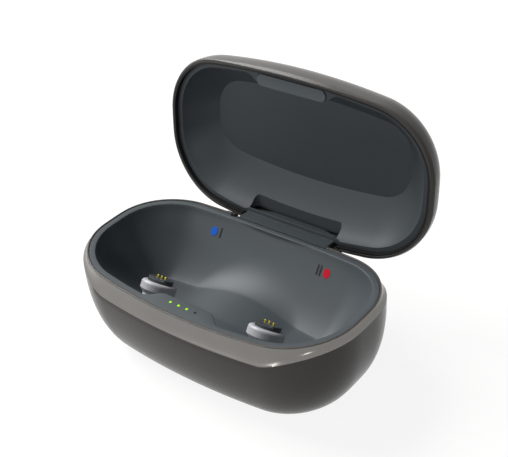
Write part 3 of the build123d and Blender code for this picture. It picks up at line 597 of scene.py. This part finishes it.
def carve(piece, cutters):
    """Take the cutters, as bmeshes in millimetres, away from a piece."""
    tools = []
    for cutter in cutters:
        bmesh.ops.scale(cutter, vec=(MM, MM, MM), verts=cutter.verts)
        mesh = bpy.data.meshes.new("cutter")
        cutter.to_mesh(mesh)
        cutter.free()
        tool = bpy.data.objects.new("cutter", mesh)
        scene.collection.objects.link(tool)
        tools.append(tool)
        cut = piece.modifiers.new("cut", "BOOLEAN")
        cut.operation, cut.solver, cut.object = "DIFFERENCE", "MANIFOLD", tool
    settle(piece)
    for tool in tools:
        bpy.data.objects.remove(tool)


def notch():
    """The box that frees the hinge."""
    return block((-NOTCH_HALF_LENGTH, NOTCH_FRONT_Y, NOTCH_BOTTOM),
                 (NOTCH_HALF_LENGTH, NOTCH_REAR_Y, NOTCH_TOP))


port = block((-PORT_HALF_WIDTH, PORT_FRONT_Y, PORT_HEIGHT - PORT_HALF_HEIGHT),
             (PORT_HALF_WIDTH, PORT_REAR_Y, PORT_HEIGHT + PORT_HALF_HEIGHT))
round_edges(port, 1, PORT_HALF_HEIGHT - FLAT_LEFT)
base_skin = object_from(base_bm, "base_shell_skin", "base", finishes["shell"])
# The second finish, on the cove rings, is the shell's lacquer in a lighter colour: a painted
# reflection.
base_skin.data.materials.append(finishes["band"])
carve(base_skin, [notch(), port])
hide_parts("base_shell")
print("base skin carved:", len(base_skin.data.polygons), "faces")

# %% [markdown]
# On each side of the notch an ear holds the hinge pin: a short barrel on a block that grows
# out of the rear wall.

# %% Hinge ears
HINGE_Y, HINGE_HEIGHT = 25.6, 27.0
EAR_LENGTH, EAR_RADIUS, EAR_EDGE = 3.5, 2.25, 0.25
ROOT_DEPTH, ROOT_HEIGHT, ROOT_OFFSET = 1.2, 4.2, 0.6

ears_bm = bmesh.new()
for side in (-1, 1):
    middle = side * (NOTCH_HALF_LENGTH + EAR_LENGTH / 2)
    barrel = bmesh.ops.create_cone(ears_bm, cap_ends=True, segments=48, radius1=EAR_RADIUS,
                                   radius2=EAR_RADIUS, depth=EAR_LENGTH)["verts"]
    bmesh.ops.rotate(ears_bm, verts=barrel, matrix=Matrix.Rotation(math.pi / 2, 3, "Y"))
    bmesh.ops.translate(ears_bm, verts=barrel, vec=(middle, HINGE_Y, HINGE_HEIGHT))
    rims = {
        e for v in barrel for e in v.link_edges if abs(e.verts[0].co.x - e.verts[1].co.x) < 1e-6
    }
    bmesh.ops.bevel(ears_bm, geom=list(rims), offset=EAR_EDGE, segments=3, profile=0.5,
                    affect="EDGES", material=-1)
    root = bmesh.ops.create_cube(ears_bm, size=1.0)["verts"]
    bmesh.ops.scale(ears_bm, vec=(EAR_LENGTH, ROOT_DEPTH, ROOT_HEIGHT), verts=root)
    bmesh.ops.translate(ears_bm, verts=root,
                        vec=(middle, HINGE_Y - ROOT_OFFSET, HINGE_HEIGHT - ROOT_OFFSET))
ears = object_from(ears_bm, "hinge_ears", "base", finishes["shell"])
print("hinge ears:", len(ears.data.polygons), "faces")

# %% [markdown]
# ## The tray
#
# The tray is one moulding: a flat ledge round the rim, a deep bowl under it, a soft saddle
# across the bowl's middle, and a bulge on the front ledge for the lights. The bowl is again a
# row of rings. Two smooth blends shape it: a soft maximum lifts the floor onto the saddle,
# and a soft minimum pulls the front wall in to the bulge. Solidify gives it its wall.

# %% Tray
LEDGE_DROP, LEDGE_OUTER, OPENING = 0.2, 2.15, 4.0
LEDGE_TOP = RIM - LEDGE_DROP
BOWL_DEPTH, BOWL_FULLNESS = 17.0, 1.25
FLOOR_HALF_LENGTH, FLOOR_HALF_DEPTH, FLOOR_CORNER = 31.0, 6.5, 3.25
SADDLE_RADIUS, SADDLE_TOP, SADDLE_BLEND = 24.0, 15.0, 8.0
BULGE_Y, BULGE_FLAT, BULGE_END, BULGE_BLEND = 18.7, 8.0, 14.8, 0.5
HINGE_RIM_Y = 22.6
TRAY_WALL = 1.3
EDGE_ROUND = 0.3
BOWL_RINGS = 34
RING_FULLNESS = 1.6
BOW_FADE = 6
BULGE_SLACK, BULGE_REACH, RIM_REACH = 0.6, 2.0, 0.5


def soft_max(a, b, blend):
    """The larger of two values, with a round fillet of a given width where they cross."""
    near = max(blend - abs(a - b), 0.0) / blend
    return max(a, b) + near * near * blend / 4


def eased(value):
    """A smooth step from 0 to 1."""
    held = min(max(value, 0.0), 1.0)
    return held * held * (3 - 2 * held)


def rim_sag(x):
    """How much the long bow draws in at x."""
    return LONG_BOW - math.sqrt(LONG_BOW ** 2 - x ** 2)


def bulge_limit(x):
    """How far from the middle line the front wall may be at x."""
    out = eased((abs(x) - BULGE_FLAT) / (BULGE_END - BULGE_FLAT))
    return between(BULGE_Y, HALF_DEPTH - OPENING - rim_sag(x) + BULGE_SLACK, out)


def shaped(spot, ease=0.0):
    """A bowl spot, pulled in to the bulge in front and to the hinge rim behind."""
    if spot.y < 0 and abs(spot.x) < BULGE_END + BULGE_REACH:
        spot.y = soft_max(spot.y, -bulge_limit(spot.x) - ease, BULGE_BLEND)
    if spot.y > 0 and abs(spot.x) < NOTCH_HALF_LENGTH + RIM_REACH:
        spot.y = min(spot.y, HINGE_RIM_Y + ease)
    return spot


def bowl_spot(step, share, ease=0.0):
    """A spot on the bowl's wall at a share of its depth."""
    spot = outline_spot(step, *part_way(
        OPENING - ease, FLOOR_HALF_LENGTH, FLOOR_HALF_DEPTH, FLOOR_CORNER,
        swept_in(share, BOWL_FULLNESS),
    ))
    bowed = rim_bow(spot.x) * (1 - share) ** BOW_FADE
    return shaped(Vector((spot.x, spot.y, LEDGE_TOP - BOWL_DEPTH * share + bowed)), ease)


def over_saddle(spot):
    """A bowl spot lifted onto the saddle."""
    if abs(spot.x) < SADDLE_RADIUS:
        saddle = SADDLE_TOP - SADDLE_RADIUS + math.sqrt(SADDLE_RADIUS ** 2 - spot.x ** 2)
        spot.z = soft_max(spot.z, saddle, SADDLE_BLEND)
    return spot


tray_rings = [[rim_spot(s, LEDGE_OUTER, LEDGE_OUTER, LEDGE_DROP) for s in steps]]
for turn in (0, 30, 60):
    ease = EDGE_ROUND * (1 - math.sin(math.radians(turn)))
    drop = EDGE_ROUND * (1 - math.cos(math.radians(turn)))
    ring = [bowl_spot(s, 0.0, ease) for s in steps]
    for spot in ring:
        spot.z -= drop
    tray_rings.append(ring)
for k in range(1, BOWL_RINGS + 1):
    share = math.sin(math.pi / 2 * k / BOWL_RINGS) ** (2 / RING_FULLNESS)
    tray_rings.append([over_saddle(bowl_spot(s, share)) for s in steps])
bowl_spine = FLOOR_HALF_LENGTH - FLOOR_HALF_DEPTH
flat_floor = [bowl_spot(s, 1.0) for s in steps]
for share in (0.25, 0.5, 0.75, 1.0):
    tray_rings.append([
        over_saddle(to_spine(spot.copy(), bowl_spine, share)) for spot in flat_floor
    ])
tray_bm = ring_skin(tray_rings)
if sum(face.normal.z * face.calc_area() for face in tray_bm.faces) < 0:
    bmesh.ops.reverse_faces(tray_bm, faces=tray_bm.faces)
tray = object_from(tray_bm, "base_tray_skin", "base", finishes["tray"], 40.0)
wall = tray.modifiers.new("wall", "SOLIDIFY")
wall.thickness, wall.offset = TRAY_WALL * MM, -1.0
carve(tray, [notch()])
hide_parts("base_tray")
print("tray:", len(tray.data.polygons), "faces")

# %% [markdown]
# ## Lights and markers
#
# Four light guides end in the front bulge as small round lenses. Three are lit green and one
# is dark. Each is a rod with a rounded tip that stands a tenth of a millimetre proud.

# %% Lenses
LIGHTS, LIGHT_PITCH, LIGHT_Y = 4, 3.0, 21.1
LENS_RADIUS, LENS_LENGTH, LENS_PROUD, LENS_ROUND = 0.46, 5.0, 0.10, 0.2

for number in range(LIGHTS):
    lens_bm = bmesh.new()
    rod = bmesh.ops.create_cone(lens_bm, cap_ends=True, segments=32, radius1=LENS_RADIUS,
                                radius2=LENS_RADIUS, depth=LENS_LENGTH)["verts"]
    tip = {e for v in rod for e in v.link_edges if min(p.co.z for p in e.verts) > 0}
    bmesh.ops.bevel(lens_bm, geom=list(tip), offset=LENS_ROUND, segments=4, profile=0.5,
                    affect="EDGES", material=-1)
    x = (number - (LIGHTS - 1) / 2) * LIGHT_PITCH
    top = LEDGE_TOP + rim_bow(x) + LENS_PROUD
    bmesh.ops.translate(lens_bm, verts=lens_bm.verts, vec=(x, -LIGHT_Y, top - LENS_LENGTH / 2))
    kind = "unlit" if number == LIGHTS - 1 else "lit"
    lens = object_from(lens_bm, f"light_lens_{number + 1}", "base", finishes[kind])
    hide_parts(f"light_guide_{number + 1}")
print("lenses:", LIGHTS)

# %% [markdown]
# Two round inlays in the back wall tell the pockets apart, blue on the left and red on the
# right. Beside them stand printed tally bars, one for the left pocket and two for the right.
# Both are flat pieces whose faces are moved onto the curved wall.

# %% Markers
MARKER_X, MARKER_Z, MARKER_RADIUS = 21.4, 25.3, 1.2
DOT_PROUD, DOT_SUNK = 0.14, 0.4
BAR_WIDTH, BAR_HEIGHT, BAR_ROUND = 0.5, 2.7, 0.2
BAR_GAP, BAR_PITCH = 2.4, 1.1
BAR_PROUD, BAR_SUNK = 0.12, 0.3
BLANK_HALF = 0.3


def back_wall(x, z):
    """Where the bowl's back wall is, as y, at x and a height."""
    share = swept_in((LEDGE_TOP - z) / BOWL_DEPTH, BOWL_FULLNESS)
    inset = between(OPENING, HALF_DEPTH - FLOOR_HALF_DEPTH, share)
    bow = LONG_BOW - inset
    return HALF_DEPTH - inset - bow + math.sqrt(bow ** 2 - x ** 2)


def onto_wall(bm, proud, sunk):
    """Move a flat piece's front face just proud of the back wall, and its rear into it."""
    for vertex in bm.verts:
        depth = -proud if vertex.co.y < 0 else sunk
        vertex.co.y = back_wall(vertex.co.x, vertex.co.z) + depth


for name, side, colour in (("left", -1, "blue"), ("right", 1, "red")):
    dot_bm = bmesh.new()
    bmesh.ops.create_cone(dot_bm, cap_ends=True, segments=48, radius1=MARKER_RADIUS,
                          radius2=MARKER_RADIUS, depth=2 * BLANK_HALF)
    bmesh.ops.rotate(dot_bm, verts=dot_bm.verts, matrix=Matrix.Rotation(math.pi / 2, 3, "X"))
    bmesh.ops.translate(dot_bm, verts=dot_bm.verts, vec=(side * MARKER_X, 0, MARKER_Z))
    onto_wall(dot_bm, DOT_PROUD, DOT_SUNK)
    dot = object_from(dot_bm, f"{name}_marker_dot", "base", finishes[colour])
    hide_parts(f"{name}_marker")
    for count in range(1 if side < 0 else 2):
        bar_x = side * MARKER_X - side * (BAR_GAP + BAR_PITCH * count)
        bar_bm = block((bar_x - BAR_WIDTH / 2, -BLANK_HALF, MARKER_Z - BAR_HEIGHT / 2),
                       (bar_x + BAR_WIDTH / 2, BLANK_HALF, MARKER_Z + BAR_HEIGHT / 2))
        round_edges(bar_bm, 1, BAR_ROUND, 3)
        onto_wall(bar_bm, BAR_PROUD, BAR_SUNK)
        bar = object_from(bar_bm, f"{name}_tally_bar_{count + 1}", "base", finishes["ink"])
print("markers: 2, tally bars: 3")
